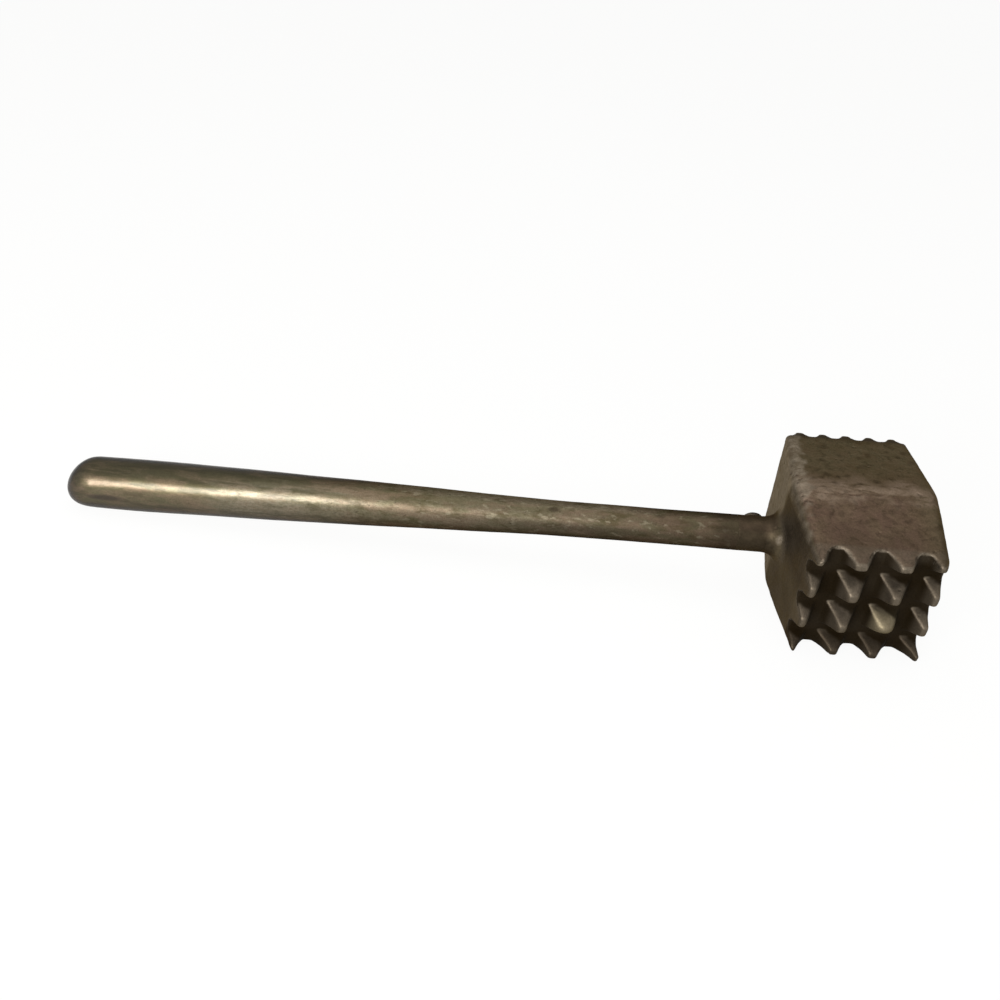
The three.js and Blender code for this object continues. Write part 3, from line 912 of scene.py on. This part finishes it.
def seen_share(tree, straight, mirrored):
    """A share for what the camera sees straight on, and one for what it sees in a reflection."""
    path = tree.nodes.new("ShaderNodeLightPath")
    straight = arithmetic(tree, "MULTIPLY", path.outputs["Is Camera Ray"], straight)
    mirror = arithmetic(tree, "MAXIMUM", path.outputs["Is Glossy Ray"], path.outputs["Is Transmission Ray"])
    return arithmetic(tree, "MAXIMUM", straight, arithmetic(tree, "MULTIPLY", mirror, mirrored))


def floor():
    """A wide pale floor that shows almost white and keeps a soft shadow of the tool."""
    half = FLOOR_HALF * MM
    mesh = bpy.data.meshes.new("floor")
    corners = [(-half, -half, 0), (half, -half, 0), (half, half, 0), (-half, half, 0)]
    mesh.from_pydata(corners, [], [(0, 1, 2, 3)])
    material, tree, shader = new_material("floor_paint")
    shader.inputs["Base Color"].default_value = (*FLOOR_PAINT, 1)
    shader.inputs["Roughness"].default_value = 0.9
    glow = tree.nodes.new("ShaderNodeEmission")
    glow.inputs["Color"].default_value = (*FLOOR_WHITE, 1)
    blend = tree.nodes.new("ShaderNodeMixShader")
    tree.links.new(seen_share(tree, 0.93, 0.2), blend.inputs["Fac"])
    tree.links.new(shader.outputs["BSDF"], blend.inputs[1])
    tree.links.new(glow.outputs["Emission"], blend.inputs[2])
    tree.links.new(blend.outputs["Shader"], tree.nodes["Material Output"].inputs["Surface"])
    mesh.materials.append(material)
    ground = bpy.data.objects.new("floor", mesh)
    bpy.context.scene.collection.objects.link(ground)


def world_light():
    """A surround, white to the camera, that lights the tool a little less from behind than from in front."""
    world = bpy.data.worlds.new("surround")
    world.use_nodes = True
    tree = world.node_tree
    background = tree.nodes["Background"]
    background.inputs["Color"].default_value = (1, 1, 1, 1)
    place = tree.nodes.new("ShaderNodeTexCoord")
    split = tree.nodes.new("ShaderNodeSeparateXYZ")
    tree.links.new(place.outputs["Generated"], split.inputs["Vector"])
    level = eased(tree, split.outputs["Y"], -0.5, 0.7, 1.0, 0.65)
    light = arithmetic(tree, "ADD", seen_share(tree, 0, SURROUND_MIRRORED), SURROUND_LIGHT)
    light = arithmetic(tree, "MULTIPLY", light, level)
    shown = arithmetic(tree, "MAXIMUM", light, seen_share(tree, 1, 0))
    tree.links.new(shown, background.inputs["Strength"])
    bpy.context.scene.world = world


def softbox(name, at, aim, width, height, power):
    """A rectangular lamp at a place in the drawing frame, aimed at another."""
    lamp = bpy.data.lights.new(name, "AREA")
    lamp.shape = "RECTANGLE"
    lamp.size = width * MM
    lamp.size_y = height * MM
    lamp.energy = power
    holder = bpy.data.objects.new(name, lamp)
    place = in_row_frame(at)
    holder.location = place
    holder.rotation_euler = (in_row_frame(aim) - place).to_track_quat("-Z", "Y").to_euler()
    bpy.context.scene.collection.objects.link(holder)


def photo_camera():
    """The camera at the photo's viewpoint."""
    camera = bpy.data.cameras.new("photo_camera")
    camera.lens = CAMERA_LENS
    camera.sensor_width = CAMERA_SENSOR
    camera.clip_start = CAMERA_NEAR * MM
    holder = bpy.data.objects.new("photo_camera", camera)
    place = in_row_frame(CAMERA_AT)
    forward = (in_row_frame(CAMERA_AIM) - place).normalized()
    right = (TOOL.to_3x3() @ Vector(CAMERA_RIGHT)).normalized()
    up = right.cross(forward).normalized()
    right = forward.cross(up)
    matrix = Matrix((right, up, -forward)).transposed().to_4x4()
    matrix.translation = place
    holder.matrix_world = matrix
    bpy.context.scene.collection.objects.link(holder)
    bpy.context.scene.camera = holder


photo_camera()
floor()
world_light()
softbox("window", at=(-390, -540, 385), aim=(-220, 0, 0), width=440, height=250, power=5)
softbox("ceiling", at=(-60, 100, 900), aim=(-60, 0, 0), width=900, height=700, power=4)
head_skin(cast_metal())
handle_skin(handle_metal())
pin_skin(pin_metal())

bpy.context.scene.view_settings.view_transform = "Standard"
